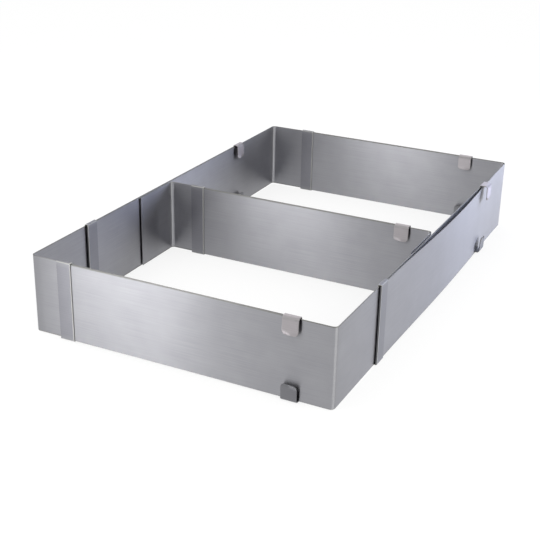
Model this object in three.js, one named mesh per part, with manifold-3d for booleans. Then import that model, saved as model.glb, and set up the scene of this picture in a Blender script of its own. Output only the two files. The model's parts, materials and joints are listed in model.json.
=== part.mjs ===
// Adjustable baking frame with a divider, bent and pressed from stainless steel sheet.
// Millimetres, +Z up. X runs along the width, Y along the length, and the front is at -Y.
//
// Every wall is a pair of sheets that slide along each other. The near sheet ends in a guide strap,
// which reaches round the edges of the far sheet. The far sheet ends in a top and a bottom hook,
// which reach over the edges of the near sheet. Four corner sheets make the outer walls, and two
// sheets with a flange along each side wall make the divider.
import * as THREE from 'three';
import { mergeVertices } from 'three/addons/utils/BufferGeometryUtils.js';
import Module from 'manifold-3d';

// Frame, as it is set
const FRAME_WIDTH = 200;
const FRAME_LENGTH = 322;
const SHEET_HEIGHT = 50;
const DIVIDER_PLACE = 155.5;

// Sheet metal
const SHEET_THICKNESS = 0.4;
const WALL_GAP = 0.6;
const BEND_RADIUS = 2.4;

// Guide straps: a web on the near sheet, a crown over both edges, and a lip behind the far sheet
const STRAP_WIDTH = 10;
const STRAP_THICKNESS = 0.4;
const STRAP_LIP = 10;
const STRAP_BEND = 1.0;
const STRAP_CROWN_GAP = 0.25;
const STRAP_RUN_GAP = 0.3;

// Hooks: a plate on the far sheet, a crown over both edges, and a lip in front of the near sheet
const HOOK_WIDTH = 10;
const HOOK_THICKNESS = 0.5;
const HOOK_LIP = 10;
const HOOK_STANDOFF = 1.6;
const HOOK_BEND = 1.5;
const HOOK_PLATE_BEND = 0.3;
const HOOK_CROWN_GAP = 0.25;
const HOOK_CORNER_RADIUS = 2.5;

// Straps and hooks stand this far off the sheet that carries them
const SEAT_GAP = 0.1;

// Free ends: how far a strap or a hook stops short of the wall that it slides towards
const FRONT_STRAP_SETBACK = 19.5;
const FRONT_HOOK_SETBACK = 22;
const BACK_STRAP_SETBACK = 28.5;
const BACK_HOOK_SETBACK = 26.5;
const DIVIDER_STRAP_SETBACK = 19.5;
const DIVIDER_HOOK_SETBACK = 17.5;
const LEFT_STRAP_SETBACK = 56;
const LEFT_HOOK_SETBACK = 57.5;
const RIGHT_STRAP_SETBACK = 60;
const RIGHT_HOOK_SETBACK = 55;

// Divider
const DIVIDER_FLANGE = 40;
const DIVIDER_PLAY = 0.15;

// Steps in each rounded corner are twice this number
const CURVE_STEPS = 2;

// Worked out from the values above
const PITCH = SHEET_THICKNESS + WALL_GAP;
const PAIR_THICKNESS = PITCH + SHEET_THICKNESS;
const QUARTER_TURN = Math.PI / 2;
const sheetBottom = STRAP_CROWN_GAP + STRAP_THICKNESS;
const sheetTop = sheetBottom + SHEET_HEIGHT;
const dividerLeftStandoff = SEAT_GAP + STRAP_THICKNESS + DIVIDER_PLAY;
const dividerRightStandoff = STRAP_RUN_GAP + STRAP_THICKNESS + DIVIDER_PLAY;
const dividerLeftFace = PAIR_THICKNESS + dividerLeftStandoff;
const dividerRightFace = FRAME_WIDTH - PAIR_THICKNESS - dividerRightStandoff;

const wasm = await Module();
wasm.setup();

// A closed outline of [x, y, radius] corners, all of them right angles
function outline(corners) {
  const shape = new THREE.Shape();
  corners.forEach(([x, y, radius = 0], i) => {
    const corner = new THREE.Vector2(x, y);
    if (radius === 0) {
      if (i === 0) shape.moveTo(x, y);
      else shape.lineTo(x, y);
      return;
    }
    const previous = corners[i - 1];
    const next = corners[(i + 1) % corners.length];
    const arriving = corner.clone().sub(new THREE.Vector2(previous[0], previous[1])).normalize();
    const leaving = new THREE.Vector2(next[0], next[1]).sub(corner).normalize();
    const start = corner.clone().addScaledVector(arriving, -radius);
    const end = corner.clone().addScaledVector(leaving, radius);
    const centre = start.clone().addScaledVector(leaving, radius);
    shape.lineTo(start.x, start.y);
    const from = start.sub(centre).angle();
    const to = end.sub(centre).angle();
    shape.absarc(centre.x, centre.y, radius, from, to, arriving.cross(leaving) < 0);
  });
  return shape;
}

function extrude(shape, depth) {
  return new THREE.ExtrudeGeometry(shape, { depth, curveSegments: CURVE_STEPS, bevelEnabled: false });
}

// A profile across a wall, drawn in depth and height, swept along the wall from x = 0
function sweepAlongWall(shape, width) {
  const toWall = new THREE.Matrix4().makeBasis(
    new THREE.Vector3(0, 1, 0),
    new THREE.Vector3(0, 0, 1),
    new THREE.Vector3(1, 0, 0),
  );
  return extrude(shape, width).applyMatrix4(toWall);
}

// A face outline, drawn along the wall and in height, swept through the wall from far to near
function sweepThroughWall(shape, near, far) {
  const toWall = new THREE.Matrix4().makeBasis(
    new THREE.Vector3(1, 0, 0),
    new THREE.Vector3(0, 0, 1),
    new THREE.Vector3(0, -1, 0),
  );
  return extrude(shape, far - near).applyMatrix4(toWall).translate(0, far, 0);
}

function toSolid(geometry) {
  const bare = geometry.clone();
  bare.deleteAttribute('normal');
  bare.deleteAttribute('uv');
  const merged = mergeVertices(bare);
  const vertProperties = Float32Array.from(merged.attributes.position.array);
  const triVerts = Uint32Array.from(merged.index.array);
  return new wasm.Manifold(new wasm.Mesh({ numProp: 3, vertProperties, triVerts }));
}

function toGeometry(solid) {
  const { vertProperties, triVerts } = solid.getMesh();
  const geometry = new THREE.BufferGeometry();
  geometry.setAttribute('position', new THREE.BufferAttribute(vertProperties, 3));
  geometry.setIndex(new THREE.BufferAttribute(triVerts, 1));
  geometry.computeVertexNormals();
  return geometry;
}

function steelPiece(name, geometry, color, roughness) {
  const material = new THREE.MeshStandardMaterial({ color, roughness, metalness: 1 });
  const mesh = new THREE.Mesh(geometry, material);
  mesh.name = name;
  return mesh;
}

// A bent sheet. Its outer corner is at the given place, and it is turned by whole quarter turns.
// Before the turn its first leg runs along +X and its second leg along +Y.
function bentSheet(name, place, quarterTurns, firstLeg, secondLeg) {
  const plan = outline([
    [firstLeg, 0],
    [0, 0, BEND_RADIUS + SHEET_THICKNESS],
    [0, secondLeg],
    [SHEET_THICKNESS, secondLeg],
    [SHEET_THICKNESS, SHEET_THICKNESS, BEND_RADIUS],
    [firstLeg, SHEET_THICKNESS],
  ]);
  const sheet = steelPiece(name, extrude(plan, SHEET_HEIGHT), 0xb9babf, 0.34);
  sheet.position.set(place[0], place[1], sheetBottom);
  sheet.rotation.z = quarterTurns * QUARTER_TURN;
  return sheet;
}

// A guide strap on a wall's near sheet, starting at a distance along the wall
function guideStrap(name, along) {
  const near = -SEAT_GAP;
  const far = PAIR_THICKNESS + STRAP_RUN_GAP;
  const top = sheetTop + STRAP_CROWN_GAP;
  const bottom = sheetBottom - STRAP_CROWN_GAP;
  const inner = Math.min(STRAP_BEND, STRAP_CROWN_GAP + SEAT_GAP, (far - near) / 2);
  const outer = inner + STRAP_THICKNESS;
  const profile = outline([
    [far, top - STRAP_LIP],
    [far, top, inner],
    [near, top, inner],
    [near, bottom, inner],
    [far, bottom, inner],
    [far, bottom + STRAP_LIP],
    [far + STRAP_THICKNESS, bottom + STRAP_LIP],
    [far + STRAP_THICKNESS, bottom - STRAP_THICKNESS, outer],
    [near - STRAP_THICKNESS, bottom - STRAP_THICKNESS, outer],
    [near - STRAP_THICKNESS, top + STRAP_THICKNESS, outer],
    [far + STRAP_THICKNESS, top + STRAP_THICKNESS, outer],
    [far + STRAP_THICKNESS, top - STRAP_LIP],
  ]);
  const strap = steelPiece(name, sweepAlongWall(profile, STRAP_WIDTH), 0xadafb4, 0.36);
  strap.position.x = along;
  return strap;
}

// A hook on a wall's far sheet, drawn from the sheets' edge at height 0 upwards over it.
// The lip and the plate have rounded corners at their free ends.
function hookSolid() {
  const near = -HOOK_STANDOFF;
  const far = PAIR_THICKNESS + SEAT_GAP;
  const top = HOOK_CROWN_GAP;
  const bend = Math.min(HOOK_BEND, HOOK_STANDOFF);
  const plateBend = Math.min(HOOK_PLATE_BEND, PAIR_THICKNESS);
  const profile = outline([
    [far, -HOOK_LIP],
    [far, top, plateBend],
    [near, top, bend],
    [near, -HOOK_LIP],
    [near - HOOK_THICKNESS, -HOOK_LIP],
    [near - HOOK_THICKNESS, top + HOOK_THICKNESS, bend + HOOK_THICKNESS],
    [far + HOOK_THICKNESS, top + HOOK_THICKNESS, plateBend + HOOK_THICKNESS],
    [far + HOOK_THICKNESS, -HOOK_LIP],
  ]);
  const corner = Math.min(HOOK_CORNER_RADIUS, HOOK_WIDTH / 2);
  const face = outline([
    [0, top + HOOK_THICKNESS],
    [0, -HOOK_LIP, corner],
    [HOOK_WIDTH, -HOOK_LIP, corner],
    [HOOK_WIDTH, top + HOOK_THICKNESS],
  ]);
  const strip = toSolid(sweepAlongWall(profile, HOOK_WIDTH));
  const blank = toSolid(sweepThroughWall(face, near - HOOK_THICKNESS, far + HOOK_THICKNESS));
  return strip.intersect(blank);
}

const hook = hookSolid();

// The top hook points up. The bottom hook is the same piece, turned over.
function hookPair(wall, along) {
  const topHook = steelPiece(`hook_${wall}_top`, toGeometry(hook), 0xbcb6b8, 0.32);
  topHook.position.set(along, 0, sheetTop);
  const bottomHook = steelPiece(`hook_${wall}_bottom`, toGeometry(hook.mirror([0, 0, 1])), 0xa9a7aa, 0.32);
  bottomHook.position.set(along, 0, sheetBottom);
  return [topHook, bottomHook];
}

// The strap and the hooks of one wall. The group's x runs along the wall, and its y from near to far.
function wallFittings(wall, strapSetback, hookSetback, wallSpan) {
  const fittings = new THREE.Group();
  fittings.add(guideStrap(`strap_${wall}`, strapSetback));
  fittings.add(...hookPair(wall, wallSpan - hookSetback - HOOK_WIDTH));
  return fittings;
}

const bakingFrame = new THREE.Group();

// Walls across the width are near at the front
const frontFittings = wallFittings('front', FRONT_STRAP_SETBACK, FRONT_HOOK_SETBACK, FRAME_WIDTH);
const backFittings = wallFittings('back', BACK_STRAP_SETBACK, BACK_HOOK_SETBACK, FRAME_WIDTH);
const dividerFittings = wallFittings('divider', DIVIDER_STRAP_SETBACK, DIVIDER_HOOK_SETBACK, FRAME_WIDTH);
backFittings.position.y = FRAME_LENGTH - PAIR_THICKNESS;
dividerFittings.position.y = DIVIDER_PLACE;

// Walls along the length are near at the right
const leftFittings = wallFittings('left', LEFT_STRAP_SETBACK, LEFT_HOOK_SETBACK, FRAME_LENGTH);
const rightFittings = wallFittings('right', RIGHT_STRAP_SETBACK, RIGHT_HOOK_SETBACK, FRAME_LENGTH);
leftFittings.position.x = PAIR_THICKNESS;
rightFittings.position.x = FRAME_WIDTH;
for (const fittings of [leftFittings, rightFittings]) fittings.rotation.z = QUARTER_TURN;

bakingFrame.add(frontFittings, backFittings, dividerFittings, leftFittings, rightFittings);

// Corner sheets. The front left one is the far sheet of both its walls, the back right one the near sheet.
bakingFrame.add(
  bentSheet(
    'sheet_front_left',
    [0, PITCH],
    0,
    FRAME_WIDTH - FRONT_HOOK_SETBACK,
    FRAME_LENGTH - LEFT_HOOK_SETBACK - PITCH,
  ),
  bentSheet(
    'sheet_front_right',
    [FRAME_WIDTH - PITCH, 0],
    1,
    FRAME_LENGTH - RIGHT_HOOK_SETBACK,
    FRAME_WIDTH - PITCH - FRONT_STRAP_SETBACK,
  ),
  bentSheet(
    'sheet_back_right',
    [FRAME_WIDTH, FRAME_LENGTH - PITCH],
    2,
    FRAME_WIDTH - BACK_STRAP_SETBACK,
    FRAME_LENGTH - PITCH - RIGHT_STRAP_SETBACK,
  ),
  bentSheet(
    'sheet_back_left',
    [PITCH, FRAME_LENGTH],
    3,
    FRAME_LENGTH - LEFT_STRAP_SETBACK,
    FRAME_WIDTH - PITCH - BACK_HOOK_SETBACK,
  ),
);

// Divider sheets. Their flanges run towards the front, along the side walls.
bakingFrame.add(
  bentSheet(
    'sheet_divider_left',
    [dividerLeftFace, DIVIDER_PLACE + PAIR_THICKNESS],
    3,
    DIVIDER_FLANGE,
    FRAME_WIDTH - DIVIDER_HOOK_SETBACK - dividerLeftFace,
  ),
  bentSheet(
    'sheet_divider_right',
    [dividerRightFace, DIVIDER_PLACE + SHEET_THICKNESS],
    2,
    dividerRightFace - DIVIDER_STRAP_SETBACK,
    DIVIDER_FLANGE,
  ),
);

// The origin is under the middle of the frame, on the surface that the straps rest on
const middle = new THREE.Box3().setFromObject(bakingFrame).getCenter(new THREE.Vector3());
bakingFrame.position.set(-middle.x, -middle.y, 0);

export default bakingFrame;
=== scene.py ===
"""Looks of the adjustable baking frame, with each piece a bent strip of brushed steel."""
import json
import math

import bpy
from mathutils import Matrix, Vector


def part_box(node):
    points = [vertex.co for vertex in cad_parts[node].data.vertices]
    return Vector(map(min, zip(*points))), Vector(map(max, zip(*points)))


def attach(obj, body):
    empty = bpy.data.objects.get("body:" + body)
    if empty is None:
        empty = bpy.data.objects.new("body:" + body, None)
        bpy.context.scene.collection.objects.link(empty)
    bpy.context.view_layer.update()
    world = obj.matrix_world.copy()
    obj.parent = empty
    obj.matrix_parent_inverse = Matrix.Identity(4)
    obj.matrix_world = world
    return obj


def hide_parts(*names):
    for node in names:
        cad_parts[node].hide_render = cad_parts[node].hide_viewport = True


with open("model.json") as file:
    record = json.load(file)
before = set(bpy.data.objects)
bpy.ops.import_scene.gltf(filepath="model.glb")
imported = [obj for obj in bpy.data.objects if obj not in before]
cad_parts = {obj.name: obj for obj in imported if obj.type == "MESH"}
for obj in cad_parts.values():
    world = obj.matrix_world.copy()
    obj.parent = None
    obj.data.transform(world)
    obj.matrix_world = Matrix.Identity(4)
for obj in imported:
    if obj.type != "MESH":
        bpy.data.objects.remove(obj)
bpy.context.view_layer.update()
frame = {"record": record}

MM = 0.001

# Sheet metal
SHEET_THICKNESS = 0.4 * MM
STRAP_THICKNESS = 0.4 * MM
HOOK_THICKNESS = 0.5 * MM
EDGE_RADIUS = 0.19 * MM
SHEET_BEND = 2.4 * MM
STRAP_BEND = 0.35 * MM
STRAP_LIP = 10 * MM
HOOK_BEND = 1.5 * MM
HOOK_PLATE_BEND = 0.3 * MM
HOOK_CORNER = 2.5 * MM
# A hook's lip opens by this towards its free end
HOOK_LEAN = -0.3 * MM

# Points along a bend and round an edge
BEND_POINTS = 10
EDGE_POINTS = 3

# Bends turn by less than this from step to step, and rounded edges by more
SMOOTH_BELOW = math.radians(12)

# Longest step along a strip: fine where an end is rounded, coarse where a wall only bows
SHEET_STEP = 5 * MM
STRAP_STEP = 3 * MM
HOOK_STEP = 0.25 * MM

# The photograph's camera: its place, its azimuth to the right of the front, its height above the level,
# the turn of its picture, and its lens and sensor in millimetres
CAMERA_PLACE = Vector((288.1, -625.8, 301.25)) * MM
CAMERA_AZIMUTH = math.radians(26.241)
CAMERA_ELEVATION = math.radians(23.561)
CAMERA_ROLL = math.radians(1.187)
CAMERA_LENS = 71.84
CAMERA_SENSOR = 36

# The table's top lies just under the straps. To the eye this share of it is plain white
FLOOR_HALF = 1600 * MM
FLOOR_HEIGHT = -0.2 * MM
FLOOR_WHITE = 0.78


def node(tree, kind, sockets=None, **settings):
    """Adds a node, with settings as its properties.
    Sockets gives its inputs a value, an output, or a node's first output."""
    made = tree.nodes.new(kind)
    for name, value in settings.items():
        setattr(made, name, value)
    for key, value in (sockets or {}).items():
        if isinstance(value, bpy.types.Node):
            tree.links.new(value.outputs[0], made.inputs[key])
        elif isinstance(value, bpy.types.NodeSocket):
            tree.links.new(value, made.inputs[key])
        else:
            made.inputs[key].default_value = value
    return made


def linear(hex_colour):
    """An sRGB hex colour as linear RGBA."""
    channels = [int(hex_colour[i:i + 2], 16) / 255 for i in (1, 3, 5)]
    return [c / 12.92 if c <= 0.04045 else ((c + 0.055) / 1.055) ** 2.4 for c in channels] + [1.0]


# Bent strips

def bent_strip_tree():
    """A strip of sheet metal.
    A path in the XY plane gets its bends and its bow, and is swept along Z by the width."""
    tree = bpy.data.node_groups.new("bent strip", "GeometryNodeTree")
    face = tree.interface
    face.new_socket("Path", in_out="INPUT", socket_type="NodeSocketGeometry")
    for name in (
        "Width", "Thickness", "Edge Radius", "Step",
        "Corner Radius", "Lip End", "Bow Lean", "Map Side",
    ):
        face.new_socket(name, in_out="INPUT", socket_type="NodeSocketFloat")
    for name in ("First Bow", "Second Bow", "Second Flare"):
        face.new_socket(name, in_out="INPUT", socket_type="NodeSocketVector")
    face.new_socket("Material", in_out="INPUT", socket_type="NodeSocketMaterial")
    face.new_socket("Strip", in_out="OUTPUT", socket_type="NodeSocketGeometry")
    given = node(tree, "NodeGroupInput").outputs

    # The path, with a round bend at each corner and a point at every step
    path = node(tree, "GeometryNodeMeshToCurve", {0: given["Path"]})
    bend = node(tree, "GeometryNodeInputNamedAttribute", {"Name": "bend_radius"}, data_type="FLOAT")
    bent = node(tree, "GeometryNodeFilletCurve", {
        "Curve": path,
        "Count": BEND_POINTS,
        "Radius": bend,
        "Limit Radius": True,
    }, mode="POLY")
    here = node(tree, "GeometryNodeInputPosition")
    following = node(tree, "GeometryNodeOffsetPointInCurve", {"Offset": 1})
    there = node(tree, "GeometryNodeFieldAtIndex", {
        "Index": following.outputs["Point Index"],
        "Value": here,
    }, data_type="FLOAT_VECTOR", domain="POINT")
    stretch = node(tree, "ShaderNodeVectorMath", {0: here, 1: there}, operation="DISTANCE")
    steps = node(tree, "ShaderNodeMath", {
        0: stretch.outputs["Value"],
        1: given["Step"],
    }, operation="DIVIDE")
    cuts = node(tree, "ShaderNodeMath", {0: steps}, operation="FLOOR")
    stepped = node(tree, "GeometryNodeSubdivideCurve", {"Curve": bent, "Cuts": cuts})

    # The bow of each leg, which starts and ends flat, and the flare of the second leg to its free end
    leg = node(tree, "GeometryNodeInputNamedAttribute", {"Name": "leg"}, data_type="FLOAT")
    along_leg = node(tree, "ShaderNodeMath", {0: leg}, operation="FRACT")
    angle = node(tree, "ShaderNodeMath", {0: along_leg, 1: math.pi}, operation="MULTIPLY")
    swing = node(tree, "ShaderNodeMath", {0: angle}, operation="SINE")
    swell = node(tree, "ShaderNodeMath", {0: swing, 1: swing}, operation="MULTIPLY")
    past_corner = node(tree, "ShaderNodeMath", {0: leg, 1: 1.0}, operation="SUBTRACT")
    opening = node(tree, "ShaderNodeMath", {0: past_corner, 1: 0.0}, operation="MAXIMUM")
    flare = node(tree, "ShaderNodeVectorMath", {
        0: given["Second Flare"],
        "Scale": opening,
    }, operation="SCALE")
    second = node(tree, "ShaderNodeMath", {0: leg, 1: 1.0}, operation="GREATER_THAN")
    depth = node(tree, "ShaderNodeMix", {
        "Factor": second,
        4: given["First Bow"],
        5: given["Second Bow"],
    }, data_type="VECTOR").outputs[1]
    arch = node(tree, "ShaderNodeVectorMath", {0: depth, "Scale": swell}, operation="SCALE")
    bow = node(tree, "ShaderNodeVectorMath", {0: arch, 1: flare}, operation="ADD")
    bowed = node(tree, "GeometryNodeSetPosition", {"Geometry": stepped, "Offset": bow})

    # The section, with its edges rounded, swept along the path
    length = node(tree, "GeometryNodeSplineParameter").outputs["Length"]
    kept = node(tree, "GeometryNodeCaptureAttribute", domain="POINT")
    kept.capture_items.new("FLOAT", "Along")
    kept.capture_items.new("VECTOR", "Bow")
    tree.links.new(bowed.outputs[0], kept.inputs["Geometry"])
    tree.links.new(length, kept.inputs["Along"])
    tree.links.new(bow.outputs[0], kept.inputs["Bow"])
    section = node(tree, "GeometryNodeCurvePrimitiveQuadrilateral", {
        "Width": given["Thickness"],
        "Height": given["Width"],
    })
    rounded = node(tree, "GeometryNodeFilletCurve", {
        "Curve": section,
        "Count": EDGE_POINTS,
        "Radius": given["Edge Radius"],
        "Limit Radius": True,
    }, mode="POLY")
    profile = node(tree, "GeometryNodeCaptureAttribute", domain="POINT")
    profile.capture_items.new("FLOAT", "Through")
    tree.links.new(rounded.outputs[0], profile.inputs["Geometry"])
    depth_through = node(tree, "ShaderNodeSeparateXYZ", {0: here}).outputs["X"]
    tree.links.new(depth_through, profile.inputs["Through"])
    swept = node(tree, "GeometryNodeCurveToMesh", {
        "Curve": kept,
        "Profile Curve": profile,
        "Fill Caps": True,
    })

    # A map of the strip laid flat, in metres: along the path, and across it. The depth through the
    # strip is added to both, so that the narrow edges have a direction on the map too
    across = node(tree, "ShaderNodeSeparateXYZ", {0: here}).outputs["Z"]
    sided = node(tree, "ShaderNodeMath", {0: across, 1: given["Map Side"]}, operation="MULTIPLY")
    laid = node(tree, "ShaderNodeCombineXYZ", {"X": kept.outputs["Along"], "Y": sided})
    through = node(tree, "ShaderNodeCombineXYZ", {
        "X": profile.outputs["Through"],
        "Y": profile.outputs["Through"],
    })
    flat = node(tree, "ShaderNodeVectorMath", {0: laid, 1: through}, operation="ADD")
    mapped = node(tree, "GeometryNodeStoreNamedAttribute", {
        "Geometry": swept,
        "Name": "grain",
        "Value": flat,
    }, data_type="FLOAT2", domain="CORNER")

    # The lean of a bowed leg, outwards above the middle and inwards below it
    half_width = node(tree, "ShaderNodeMath", {0: given["Width"], 1: 0.5}, operation="MULTIPLY")
    above = node(tree, "ShaderNodeMath", {0: across, 1: half_width}, operation="DIVIDE")
    lean = node(tree, "ShaderNodeMath", {0: above, 1: given["Bow Lean"]}, operation="MULTIPLY")
    leaning = node(tree, "ShaderNodeVectorMath", {
        0: kept.outputs["Bow"],
        "Scale": lean,
    }, operation="SCALE")
    leant = node(tree, "GeometryNodeSetPosition", {"Geometry": mapped, "Offset": leaning})

    # The rounded corners of a lip's free end, by narrowing the strip towards the end
    height = node(tree, "ShaderNodeSeparateXYZ", {0: here}).outputs["Y"]
    below_end = node(tree, "ShaderNodeMath", {0: height, 1: given["Lip End"]}, operation="SUBTRACT")
    from_end = node(tree, "ShaderNodeMath", {0: below_end}, operation="ABSOLUTE")
    short_by = node(tree, "ShaderNodeMath", {
        0: given["Corner Radius"],
        1: from_end,
    }, operation="SUBTRACT")
    into = node(tree, "ShaderNodeMath", {0: short_by, 1: 0.0}, operation="MAXIMUM")
    into_squared = node(tree, "ShaderNodeMath", {0: into, 1: into}, operation="MULTIPLY")
    radius_squared = node(tree, "ShaderNodeMath", {
        0: given["Corner Radius"],
        1: given["Corner Radius"],
    }, operation="MULTIPLY")
    reach_squared = node(tree, "ShaderNodeMath", {
        0: radius_squared,
        1: into_squared,
    }, operation="SUBTRACT")
    reach = node(tree, "ShaderNodeMath", {0: reach_squared}, operation="SQRT")
    lost = node(tree, "ShaderNodeMath", {0: reach, 1: given["Corner Radius"]}, operation="SUBTRACT")
    share = node(tree, "ShaderNodeMath", {0: lost, 1: half_width}, operation="DIVIDE")
    drawn_in = node(tree, "ShaderNodeMath", {0: across, 1: share}, operation="MULTIPLY")
    narrowing = node(tree, "ShaderNodeCombineXYZ", {"Z": drawn_in})
    shaped = node(tree, "GeometryNodeSetPosition", {"Geometry": leant, "Offset": narrowing})

    whole = node(tree, "GeometryNodeRealizeInstances", {0: shaped})
    finished = node(tree, "GeometryNodeSetMaterial", {"Geometry": whole, "Material": given["Material"]})
    node(tree, "NodeGroupOutput", {0: finished})
    return tree


STRIP_TREE = bent_strip_tree()
STRIP_INPUTS = {
    item.name: item.identifier
    for item in STRIP_TREE.interface.items_tree
    if item.in_out == "INPUT"
}


def bent_strip(name, corners, place, **sizes):
    """A strip along (x, y, bend radius) corners, as a plain mesh.
    The place matrix puts it on the frame."""
    path = bpy.data.meshes.new(name + "_path")
    places = [(x, y, 0) for x, y, _ in corners]
    path.from_pydata(places, [(i, i + 1) for i in range(len(corners) - 1)], [])
    bends = path.attributes.new("bend_radius", "FLOAT", "POINT")
    legs = path.attributes.new("leg", "FLOAT", "POINT")
    for i, (_, _, radius) in enumerate(corners):
        bends.data[i].value = radius
        legs.data[i].value = i
    maker = bpy.data.objects.new(name + "_maker", path)
    bpy.context.scene.collection.objects.link(maker)
    modifier = maker.modifiers.new("bent strip", "NODES")
    modifier.node_group = STRIP_TREE
    for size, value in sizes.items():
        modifier[STRIP_INPUTS[size.replace("_", " ").title()]] = value
    depsgraph = bpy.context.evaluated_depsgraph_get()
    mesh = bpy.data.meshes.new_from_object(maker.evaluated_get(depsgraph))
    bpy.data.objects.remove(maker)
    bpy.data.meshes.remove(path)
    for attribute in ("bend_radius", "leg"):
        if attribute in mesh.attributes:
            mesh.attributes.remove(mesh.attributes[attribute])
    mesh.transform(place)
    mesh.shade_smooth()
    mesh.set_sharp_from_angle(angle=SMOOTH_BELOW)
    piece = bpy.data.objects.new(name, mesh)
    bpy.context.scene.collection.objects.link(piece)
    return piece


def dress(piece, cad_node):
    """Puts a piece in the place of its CAD node, on the node's own body."""
    bodies = frame["record"]["behaviour"]["bodies"]
    body = next(name for name, members in bodies.items() if cad_node in members)
    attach(piece, body)
    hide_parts(cad_node)


# Finishes

# Brushed grain, drawn much coarser than the real 0.1 mm so that it shows
STREAK_LENGTH = 35 * MM
STREAK_WIDTH = 0.6 * MM

# The sheet's own unevenness: clouds in its tone and long shallow waves
CLOUD_SIZE = 16 * MM
WAVE_SIZE = 60 * MM
WAVE_DEPTH = 0.05 * MM

# The clouds' share beside the streaks, the part of their values that is used, and how far they change
# the roughness either way
CLOUD_SHARE = 0.55
MOTTLE_LOW, MOTTLE_HIGH = 0.2, 0.8
SATIN_SPREAD = 0.01

# Sheared edges and folds are rough and dull, and are painted with a steady tone that stands in for the
# reflection their rounding shows. A fold's face slopes half way between upright and level
EDGE_ROUGHNESS = 0.7
FOLD_SLOPE = 0.5
FOLD_SHARPNESS = 3.0

# Turn of the stretched reflections, in whole turns, where the grain runs along a strip's path
QUARTER_TURN = 0.25

# From a strip's middle to its sheared edge
HALF_SHEET = 25 * MM
HALF_STRIP = 5 * MM


def brushed_steel(
        name, light, dark, edge, roughness, half_width, edge_width, both_edges, grain_along_path):
    """Stainless steel brushed along the wall: fine streaks, soft clouds, and dull edges and folds
    painted with a steady reflection tone.
    Reflections are drawn out across the grain, so they stand on the walls as upright bands."""
    material = bpy.data.materials.new(name)
    material.use_nodes = True
    tree = material.node_tree
    tree.nodes.clear()
    flat = node(tree, "ShaderNodeUVMap", uv_map="grain")
    along, across = 1 / STREAK_LENGTH, 1 / STREAK_WIDTH
    scale = (along, across, 1) if grain_along_path else (across, along, 1)
    streaks = node(tree, "ShaderNodeTexNoise", {
        "Vector": node(tree, "ShaderNodeMapping", {"Vector": flat, "Scale": scale}),
        "Scale": 1.0,
        "Detail": 1.0,
    }, noise_dimensions="2D")
    own = node(tree, "ShaderNodeTexCoord").outputs
    solid = own["Object"]
    clouds = node(tree, "ShaderNodeTexNoise", {
        "Vector": solid,
        "Scale": 1 / CLOUD_SIZE,
        "Detail": 2.0,
    })
    waves = node(tree, "ShaderNodeTexNoise", {
        "Vector": solid,
        "Scale": 1 / WAVE_SIZE,
        "Detail": 0.0,
    })
    mottle = node(tree, "ShaderNodeMix", {
        "Factor": CLOUD_SHARE,
        2: streaks,
        3: clouds,
    }, data_type="FLOAT")
    spread = node(tree, "ShaderNodeMapRange", {
        "Value": mottle,
        "From Min": MOTTLE_LOW,
        "From Max": MOTTLE_HIGH,
    })
    face = node(tree, "ShaderNodeMix", {
        "Factor": spread,
        6: linear(dark),
        7: linear(light),
    }, data_type="RGBA").outputs[2]
    height = node(tree, "ShaderNodeSeparateXYZ", {0: flat}).outputs["Y"]
    sides = "ABSOLUTE" if both_edges else "ADD"
    outward = node(tree, "ShaderNodeMath", {0: height, 1: 0.0}, operation=sides)
    sheared = node(tree, "ShaderNodeMapRange", {
        "Value": outward,
        "From Min": half_width - edge_width,
        "From Max": half_width - edge_width / 2,
    })
    rise = node(tree, "ShaderNodeSeparateXYZ", {0: own["Normal"]}).outputs["Z"]
    steep = node(tree, "ShaderNodeMath", {0: rise}, operation="ABSOLUTE")
    sloping = node(tree, "ShaderNodeMath", {0: steep, 1: FOLD_SLOPE}, operation="PINGPONG")
    folded = node(tree, "ShaderNodeMath", {
        0: sloping,
        1: FOLD_SHARPNESS,
    }, operation="MULTIPLY", use_clamp=True)
    dulled_and_painted_line = node(tree, "ShaderNodeMath", {0: sheared, 1: folded}, operation="MAXIMUM")
    # The band along sheared edges and folds is painted reflection: its colour stands in for the line
    # that the rounded edges and folds reflect, while its roughness is real dullness
    tone = node(tree, "ShaderNodeMix", {
        "Factor": dulled_and_painted_line,
        6: face,
        7: linear(edge),
    }, data_type="RGBA").outputs[2]
    satin = node(tree, "ShaderNodeMapRange", {
        "Value": mottle,
        "From Min": MOTTLE_LOW,
        "From Max": MOTTLE_HIGH,
        "To Min": roughness - SATIN_SPREAD,
        "To Max": roughness + SATIN_SPREAD,
    })
    dull = node(tree, "ShaderNodeMix", {
        "Factor": dulled_and_painted_line,
        2: satin,
        3: EDGE_ROUGHNESS,
    }, data_type="FLOAT")
    dented = node(tree, "ShaderNodeBump", {
        "Strength": 1.0,
        "Distance": WAVE_DEPTH,
        "Height": waves,
    })
    shader = node(tree, "ShaderNodeBsdfPrincipled", {
        "Base Color": tone,
        "Metallic": 1.0,
        "Roughness": dull,
        "Normal": dented,
        "Anisotropic": 1.0,
        "Anisotropic Rotation": QUARTER_TURN if grain_along_path else 0.0,
        "Tangent": node(tree, "ShaderNodeTangent", direction_type="UV_MAP", uv_map="grain"),
    })
    node(tree, "ShaderNodeOutputMaterial", {"Surface": shader})
    return material


# The sheets' brushed stainless steel: satin grey, cloudy, its bands upright on the walls; its edges and
# rounded tops carry a painted reflection line in the edge colour
SHEET_STEEL = brushed_steel(
    "brushed stainless sheet",
    light="#a2a2a6",
    dark="#949499",
    edge="#989896",
    roughness=0.34,
    half_width=HALF_SHEET,
    edge_width=0.6 * MM,
    both_edges=True,
    grain_along_path=True,
)
# The straps' steel is a little darker. Its edge towards the gap and its folds carry a painted highlight
# in the light edge colour
STRAP_STEEL = brushed_steel(
    "brushed stainless strap",
    light="#909096",
    dark="#828288",
    edge="#c6c6c4",
    roughness=0.34,
    half_width=HALF_STRIP,
    edge_width=0.5 * MM,
    both_edges=False,
    grain_along_path=False,
)
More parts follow.
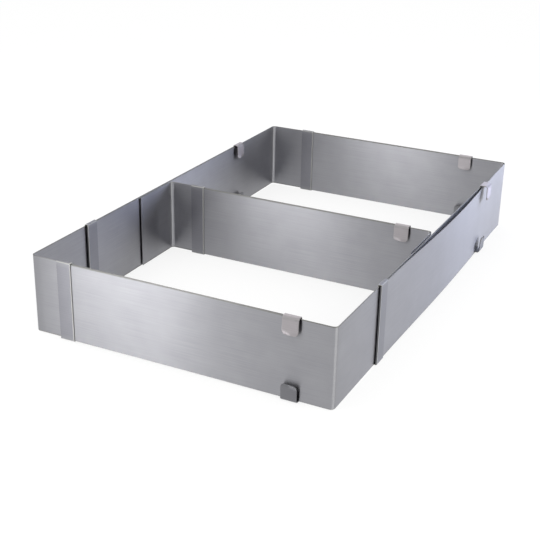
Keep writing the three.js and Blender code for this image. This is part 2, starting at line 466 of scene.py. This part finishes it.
# The top hooks are pressed from thicker stock and are matt; their pale warm tone is painted light, a
# lit copy of the bottom hooks' steel
TOP_HOOK_STEEL_PAINTED_LIGHT = brushed_steel(
    "stainless hook painted light",
    light="#beb9bc",
    dark="#ada8ab",
    edge="#b2afb0",
    roughness=0.45,
    half_width=HALF_STRIP,
    edge_width=0.3 * MM,
    both_edges=True,
    grain_along_path=False,
)
# The bottom hooks are of the same stock, painted darker as shade, and look like dark tabs
LOW_HOOK_STEEL_PAINTED_SHADE = brushed_steel(
    "stainless hook painted shade",
    light="#828286",
    dark="#747478",
    edge="#8c8c90",
    roughness=0.34,
    half_width=HALF_STRIP,
    edge_width=0.3 * MM,
    both_edges=True,
    grain_along_path=False,
)


# Sheets

def sheet(cad_node, corner, **bows):
    """A sheet bent once. Its corner is given by the side of its box in x and in y.
    The first leg runs along x."""
    low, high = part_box(cad_node)
    ends = {-1: low, 1: high}
    inset = SHEET_THICKNESS / 2
    corner_x = ends[corner[0]].x - corner[0] * inset
    corner_y = ends[corner[1]].y - corner[1] * inset
    far_x = ends[-corner[0]].x
    far_y = ends[-corner[1]].y
    path = [
        (far_x, corner_y, 0),
        (corner_x, corner_y, SHEET_BEND + inset),
        (corner_x, far_y, 0),
    ]
    middle = (low.z + high.z) / 2
    piece = bent_strip(
        cad_node + "_steel",
        path,
        Matrix.Translation((0, 0, middle)),
        width=high.z - low.z,
        thickness=SHEET_THICKNESS,
        edge_radius=EDGE_RADIUS,
        step=SHEET_STEP,
        map_side=1.0,
        material=SHEET_STEEL,
        **bows,
    )
    dress(piece, cad_node)


LEFT, RIGHT, FRONT, BACK = -1, 1, -1, 1
# The front wall's outer sheet bows inwards
FRONT_BOW = (0, 0.38 * MM, 0)
# The right wall swells most at the top: its outer sheet in the middle, and its inner one towards the
# free end
RIGHT_BOW = (2.1 * MM, 0, 0)
RIGHT_FLARE = (0.38 * MM, 0, 0)
RIGHT_LEAN = 0.4
# The right hooks are opened by this, so that the swelling sheet slides through them
RIGHT_ROOM = 1.3 * MM
sheet("sheet_front_left", (LEFT, FRONT))
sheet(
    "sheet_front_right",
    (RIGHT, FRONT),
    first_bow=FRONT_BOW,
    second_flare=RIGHT_FLARE,
    bow_lean=RIGHT_LEAN,
)
sheet("sheet_back_right", (RIGHT, BACK), second_bow=RIGHT_BOW, bow_lean=RIGHT_LEAN)
sheet("sheet_back_left", (LEFT, BACK))
sheet("sheet_divider_left", (LEFT, BACK))
sheet("sheet_divider_right", (RIGHT, BACK))


# Straps and hooks

def wall_place(cad_node, runs_along_x):
    """Where a piece's section lies on the frame, and the sizes of its box.
    In the section x is the depth from the near face, y the height, and z runs along the wall."""
    low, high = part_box(cad_node)
    middle = (low + high) / 2
    if runs_along_x:
        turn = Matrix(((0, 0, 1), (1, 0, 0), (0, 1, 0)))
        near = Vector((middle.x, low.y, 0))
        depth, width = high.y - low.y, high.x - low.x
    else:
        turn = Matrix(((-1, 0, 0), (0, 0, 1), (0, 1, 0)))
        near = Vector((high.x, middle.y, 0))
        depth, width = high.x - low.x, high.y - low.y
    return Matrix.Translation(near) @ turn.to_4x4(), depth, width, low.z, high.z


def strap(wall, runs_along_x):
    """A guide strap: a web down the near face, a crown over each edge and a lip behind."""
    cad_node = "strap_" + wall
    place, depth, width, bottom, top = wall_place(cad_node, runs_along_x)
    inset = STRAP_THICKNESS / 2
    bend = STRAP_BEND + inset
    path = [
        (depth - inset, top - STRAP_THICKNESS - STRAP_LIP, 0),
        (depth - inset, top - inset, bend),
        (inset, top - inset, bend),
        (inset, bottom + inset, bend),
        (depth - inset, bottom + inset, bend),
        (depth - inset, bottom + STRAP_THICKNESS + STRAP_LIP, 0),
    ]
    piece = bent_strip(
        cad_node + "_steel",
        path,
        place,
        width=width,
        thickness=STRAP_THICKNESS,
        edge_radius=EDGE_RADIUS,
        step=STRAP_STEP,
        map_side=1.0 if runs_along_x else -1.0,
        material=STRAP_STEEL,
    )
    dress(piece, cad_node)


def hook(wall, runs_along_x, edge):
    """A hook: a plate on the far sheet, a crown over the edge, and a lip with round corners."""
    cad_node = f"hook_{wall}_{edge}"
    place, depth, width, bottom, top = wall_place(cad_node, runs_along_x)
    room = 0
    if wall == "right":
        lean = RIGHT_LEAN if edge == "top" else -RIGHT_LEAN
        place = Matrix.Translation(Vector(RIGHT_FLARE) * (1 + lean)) @ place
        room = RIGHT_ROOM * (1 + lean)
    inset = HOOK_THICKNESS / 2
    crown, end = (top - inset, bottom) if edge == "top" else (bottom + inset, top)
    path = [
        (depth - inset, end, 0),
        (depth - inset, crown, HOOK_PLATE_BEND + inset),
        (inset - room, crown, HOOK_BEND + inset),
        (inset - room + HOOK_LEAN, end, 0),
    ]
    piece = bent_strip(
        cad_node + "_steel",
        path,
        place,
        width=width,
        thickness=HOOK_THICKNESS,
        edge_radius=EDGE_RADIUS,
        step=HOOK_STEP,
        corner_radius=HOOK_CORNER,
        lip_end=end,
        map_side=1.0,
        # Top hooks take the hook steel painted lighter as light, bottom hooks the hook steel painted
        # darker as shade
        material=TOP_HOOK_STEEL_PAINTED_LIGHT if edge == "top" else LOW_HOOK_STEEL_PAINTED_SHADE,
    )
    dress(piece, cad_node)


# Each wall, and whether it runs along x
WALLS = {"front": True, "divider": True, "back": True, "left": False, "right": False}
for wall, runs_along_x in WALLS.items():
    strap(wall, runs_along_x)
    for edge in ("top", "bottom"):
        hook(wall, runs_along_x, edge)


# Stage

def seen_as_background(tree):
    """1 for what is seen directly, mirrored or through something clear.
    0 for light that falls on other surfaces."""
    path = node(tree, "ShaderNodeLightPath").outputs
    mirrored = node(tree, "ShaderNodeMath", {
        0: path["Is Glossy Ray"],
        1: path["Is Transmission Ray"],
    }, operation="MAXIMUM")
    return node(tree, "ShaderNodeMath", {0: path["Is Camera Ray"], 1: mirrored}, operation="MAXIMUM")


def pale_floor():
    """A large pale table top under the frame."""
    sides = ((-1, -1), (1, -1), (1, 1), (-1, 1))
    mesh = bpy.data.meshes.new("floor")
    mesh.from_pydata(
        [(x * FLOOR_HALF, y * FLOOR_HALF, FLOOR_HEIGHT) for x, y in sides], [], [(0, 1, 2, 3)])
    floor = bpy.data.objects.new("floor", mesh)
    bpy.context.scene.collection.objects.link(floor)
    material = bpy.data.materials.new("pale table")
    material.use_nodes = True
    tree = material.node_tree
    tree.nodes.clear()
    paint = node(tree, "ShaderNodeBsdfDiffuse", {"Color": linear("#f6f6f6")})
    white = node(tree, "ShaderNodeEmission", {"Color": linear("#ffffff"), "Strength": 1.0})
    share = node(tree, "ShaderNodeMath", {
        0: seen_as_background(tree),
        1: FLOOR_WHITE,
    }, operation="MULTIPLY")
    mixed = node(tree, "ShaderNodeMixShader", {0: share, 1: paint, 2: white})
    node(tree, "ShaderNodeOutputMaterial", {"Surface": mixed})
    mesh.materials.append(material)


# Each softbox: name, place, target and size in metres, power in watts, and colour
SOFTBOXES = (
    ("top softbox", (0, 0, 1.5), (0, 0, 0), (1.6, 1.6), 3.0, "#ffffff"),
    ("front softbox", (-0.182, -0.40, 0.2), (-0.042, -0.16, 0.13), (0.11, 0.4), 0.62, "#ffffff"),
    ("back softbox", (0.25, 0.50, 0.2), (0.08, 0.1, 0.13), (0.15, 0.4), 0.5, "#ced9ff"),
    ("side softbox", (0.39, 0.50, 0.2), (0.1, -0.05, 0.13), (0.16, 0.4), 0.12, "#b0c0ff"),
    ("right softbox", (0.62, -0.25, 0.3), (0.1, -0.16, 0.1), (0.6, 0.55), 2.0, "#fbfbf0"),
)


def softbox(name, place, target, size, power, colour):
    """A large soft lamp, turned to the target and not itself seen by the camera."""
    lamp = bpy.data.lights.new(name, "AREA")
    lamp.shape = "RECTANGLE"
    lamp.size, lamp.size_y = size
    lamp.energy = power
    lamp.color = linear(colour)[:3]
    piece = bpy.data.objects.new(name, lamp)
    bpy.context.scene.collection.objects.link(piece)
    piece.location = place
    piece.rotation_euler = (Vector(target) - Vector(place)).to_track_quat("-Z", "Y").to_euler()
    piece.visible_camera = False


def studio():
    """Soft light all round, a large softbox overhead, and tall ones that show as bands in the steel."""
    world = bpy.data.worlds.new("studio")
    bpy.context.scene.world = world
    world.use_nodes = True
    tree = world.node_tree
    tree.nodes.clear()
    sky = node(tree, "ShaderNodeBackground", {"Color": linear("#ffffff"), "Strength": 1.0})
    node(tree, "ShaderNodeOutputWorld", {"Surface": sky})
    for lamp in SOFTBOXES:
        softbox(*lamp)


def camera():
    """The photograph's view."""
    azimuth, elevation, roll = CAMERA_AZIMUTH, CAMERA_ELEVATION, CAMERA_ROLL
    ahead = Vector((
        -math.sin(azimuth) * math.cos(elevation),
        math.cos(azimuth) * math.cos(elevation),
        -math.sin(elevation),
    ))
    level_right = Vector((math.cos(azimuth), math.sin(azimuth), 0))
    level_up = level_right.cross(ahead)
    right = math.cos(roll) * level_right + math.sin(roll) * level_up
    up = right.cross(ahead)
    lens = bpy.data.cameras.new("camera")
    lens.lens = CAMERA_LENS
    lens.sensor_width = CAMERA_SENSOR
    eye = bpy.data.objects.new("camera", lens)
    bpy.context.scene.collection.objects.link(eye)
    turn = Matrix((right, up, -ahead)).transposed()
    eye.matrix_world = Matrix.Translation(CAMERA_PLACE) @ turn.to_4x4()
    bpy.context.scene.camera = eye


pale_floor()
studio()
camera()
bpy.context.scene.view_settings.view_transform = "Standard"
